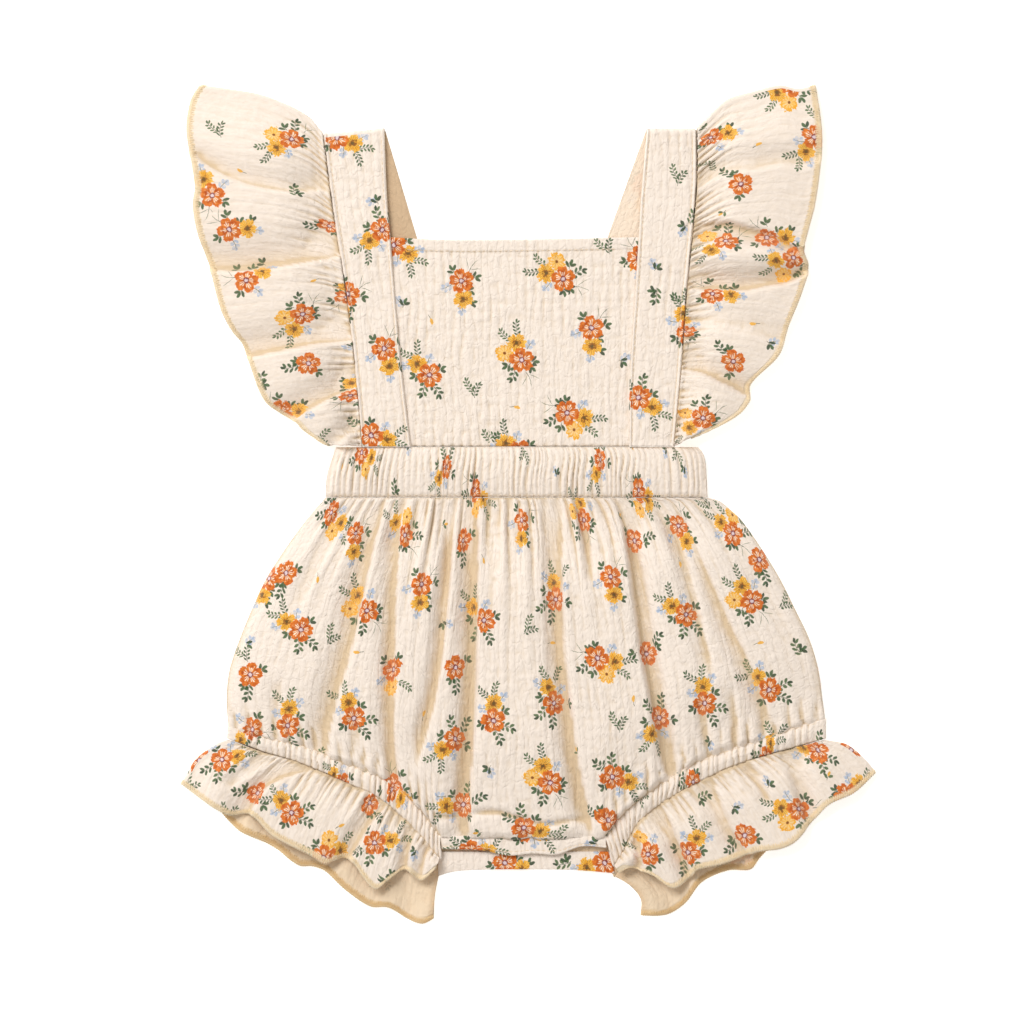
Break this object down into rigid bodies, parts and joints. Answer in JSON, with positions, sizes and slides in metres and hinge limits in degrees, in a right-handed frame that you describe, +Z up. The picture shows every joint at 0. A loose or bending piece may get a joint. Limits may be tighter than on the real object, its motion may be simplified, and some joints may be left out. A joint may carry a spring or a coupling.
{
  "type": "baby romper",
  "caption": "Sleeveless baby romper of cream floral cotton gauze, with a square bib, ruffled shoulder straps, elastic waist and gathered shorts with ruffled leg cuffs, laid flat front up.",
  "frame": {"origin": "on the centre line of the flat underside, just below the waistband", "axes": "+Z up from the surface it lies on, out of the garment's front; +Y from the crotch to the shoulders; +X across, to the right as it lies front up"},
  "size_m": [0.3679, 0.4425, 0.0141],
  "materials": {
    "gauze": "crinkled double gauze cotton, matt, printed with small flower sprays"
  },
  "bodies": {
    "root": {"bib": "gauze", "waistband_front": "gauze", "waistband_back": "gauze", "shorts_front": "gauze", "shorts_back": "gauze", "strap_left": "gauze", "strap_right": "gauze", "flutter_left": "gauze", "flutter_right": "gauze", "leg_band_left": "gauze", "leg_band_right": "gauze", "leg_ruffle_left": "gauze", "leg_ruffle_right": "gauze", "crotch_front": "gauze", "crotch_back": "gauze"}
  },
  "joints": []
}
